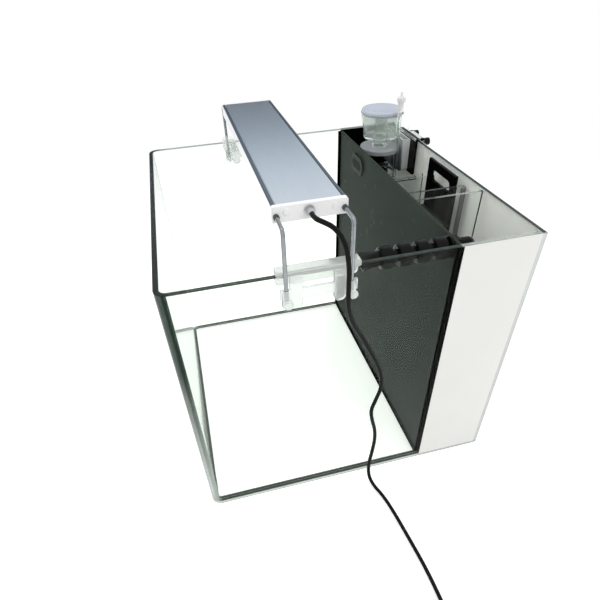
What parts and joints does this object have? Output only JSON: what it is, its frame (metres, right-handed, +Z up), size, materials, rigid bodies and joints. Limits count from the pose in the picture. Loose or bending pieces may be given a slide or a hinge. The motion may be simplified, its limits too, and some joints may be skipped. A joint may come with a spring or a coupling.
{
  "type": "marine aquarium",
  "caption": "Rimless marine tank with bent glass front, rear filter chamber, skimmer, ball-joint return hose and a light bar on rods clipped to the rims.",
  "frame": {"origin": "middle of the tank's footprint, on the ground", "axes": "+Z up, -Y towards the bent glass front, +X towards the side that the cord leaves from"},
  "size_m": [0.7464, 0.4389, 0.4438],
  "materials": {
    "clear_glass": "polished",
    "dark_sheet": "polished",
    "silicone": "cured bead",
    "white_film": "satin",
    "black_film": "matt",
    "black_plastic": "moulded, glossy",
    "grey_plastic": "moulded",
    "foam": "open-cell foam",
    "ceramic": "ground",
    "rotor": "moulded over a magnet",
    "rubber": "matt",
    "clear_plastic": "clear, moulded",
    "lid_plastic": "moulded",
    "white_plastic": "moulded",
    "smoked_plastic": "smoked, clear",
    "anodised": "brushed and anodised",
    "circuit_board": "white solder mask",
    "steel": "plated",
    "chromed": "polished",
    "cord_rubber": "smooth sheath"
  },
  "bodies": {
    "tank": {"base_pane": "clear_glass", "bent_wall": "clear_glass", "rear_pane": "clear_glass", "partition": "dark_sheet", "silicone_beads": "silicone", "side_films": "white_film", "film_backings": "black_film", "rear_film": "white_film", "far_divider": "clear_glass", "near_divider": "clear_glass", "cartridge_wall_far": "clear_glass", "cartridge_wall_near": "clear_glass", "guide_bar": "grey_plastic", "overflow_strainer": "black_plastic", "hose_elbow": "black_plastic", "bulkhead_nut": "black_plastic", "pump_body": "black_plastic", "pump_cover": "black_plastic", "pump_shaft": "ceramic", "pump_feet": "rubber", "pump_riser": "black_plastic", "skimmer_body": "clear_plastic", "skimmer_collar": "grey_plastic", "splash_guard": "smoked_plastic", "skimmer_bracket": "clear_plastic", "skimmer_air_tube": "clear_plastic", "skimmer_pump": "black_plastic", "air_valve_body": "white_plastic"},
    "carriage": {"near_saddle": "clear_plastic", "far_saddle": "clear_plastic"},
    "light": {"light_housing": "anodised", "end_caps": "white_plastic", "end_cap_screws": "steel", "light_lens": "clear_plastic", "led_board": "circuit_board", "leds": "white_plastic", "cable_gland": "steel", "leg_rods": "chromed", "power_cord": "cord_rubber", "power_cord_coil": "cord_rubber", "power_connector": "cord_rubber"},
    "lock_near_front": {"lock_knob_near_front": "clear_plastic"},
    "lock_near_back": {"lock_knob_near_back": "clear_plastic"},
    "lock_far_front": {"lock_knob_far_front": "clear_plastic"},
    "lock_far_back": {"lock_knob_far_back": "clear_plastic"},
    "cartridge": {"cartridge_plate": "black_plastic", "filter_sponge": "foam"},
    "foam_cup": {"skimmer_cup": "clear_plastic"},
    "cup_lid": {"skimmer_lid": "lid_plastic"},
    "valve_knob": {"air_valve_knob": "white_plastic"},
    "screw_far": {"bracket_screw_far": "black_plastic"},
    "screw_near": {"bracket_screw_near": "black_plastic"},
    "return_rotor": {"pump_rotor": "rotor"},
    "skimmer_rotor": {"skimmer_impeller": "rotor"},
    "hose_1": {"hose_link_1": "black_plastic"},
    "hose_2": {"hose_link_2": "black_plastic"},
    "hose_3": {"hose_link_3": "black_plastic"},
    "nozzle": {"return_nozzle": "black_plastic"}
  },
  "joints": [
    {"name": "carriage_slide", "type": "slide", "parent": "tank", "child": "carriage", "axis": [0, 1, 0], "range_m": [-0.1, 0.1]},
    {"name": "light_height", "type": "slide", "parent": "carriage", "child": "light", "axis": [0, 0, 1], "range_m": [-0.035, 0.01]},
    {"name": "lock_near_front_turn", "type": "hinge", "parent": "carriage", "child": "lock_near_front", "pos_m": [0.2218, -0.0835, 0.344], "axis": [1, 0, 0], "range_deg": [0, 180]},
    {"name": "lock_near_back_turn", "type": "hinge", "parent": "carriage", "child": "lock_near_back", "pos_m": [0.2218, -0.0155, 0.344], "axis": [1, 0, 0], "range_deg": [0, 180]},
    {"name": "lock_far_front_turn", "type": "hinge", "parent": "carriage", "child": "lock_far_front", "pos_m": [-0.2218, -0.0835, 0.344], "axis": [-1, 0, 0], "range_deg": [0, 180]},
    {"name": "lock_far_back_turn", "type": "hinge", "parent": "carriage", "child": "lock_far_back", "pos_m": [-0.2218, -0.0155, 0.344], "axis": [-1, 0, 0], "range_deg": [0, 180]},
    {"name": "cartridge_lift", "type": "slide", "parent": "tank", "child": "cartridge", "axis": [0, 0, 1], "range_m": [0, 0.33]},
    {"name": "cup_lift", "type": "slide", "parent": "tank", "child": "foam_cup", "axis": [0, 0, 1], "range_m": [0, 0.08]},
    {"name": "lid_lift", "type": "slide", "parent": "foam_cup", "child": "cup_lid", "axis": [0, 0, 1], "range_m": [0, 0.03]},
    {"name": "valve_turn", "type": "hinge", "parent": "tank", "child": "valve_knob", "pos_m": [-0.104, 0.169, 0.434], "axis": [0, 0, 1], "range_deg": [0, 270]},
    {"name": "screw_far_turn", "type": "hinge", "parent": "tank", "child": "screw_far", "pos_m": [-0.1556, 0.22, 0.365], "axis": [0, 1, 0], "range_deg": [0, 180]},
    {"name": "screw_near_turn", "type": "hinge", "parent": "tank", "child": "screw_near", "pos_m": [-0.115, 0.22, 0.365], "axis": [0, 1, 0], "range_deg": [0, 180]},
    {"name": "return_rotor_spin", "type": "hinge", "parent": "tank", "child": "return_rotor", "pos_m": [0.1575, 0.138, 0.034], "axis": [1, 0, 0], "continuous": true},
    {"name": "skimmer_rotor_spin", "type": "hinge", "parent": "tank", "child": "skimmer_rotor", "pos_m": [-0.103, 0.155, 0.026], "axis": [1, 0, 0], "continuous": true},
    {"name": "hose_bend_1", "type": "hinge", "parent": "tank", "child": "hose_1", "pos_m": [0.1855, 0.098, 0.357], "axis": [1, 0, 0], "range_deg": [-12, 12]},
    {"name": "hose_bend_2", "type": "hinge", "parent": "hose_1", "child": "hose_2", "pos_m": [0.1855, 0.077, 0.357], "axis": [1, 0, 0], "range_deg": [-12, 12]},
    {"name": "hose_bend_3", "type": "hinge", "parent": "hose_2", "child": "hose_3", "pos_m": [0.1855, 0.056, 0.357], "axis": [1, 0, 0], "range_deg": [-12, 12]},
    {"name": "nozzle_swivel", "type": "hinge", "parent": "hose_3", "child": "nozzle", "pos_m": [0.1855, 0.035, 0.357], "axis": [0, 1, 0], "range_deg": [-90, 90]}
  ]
}
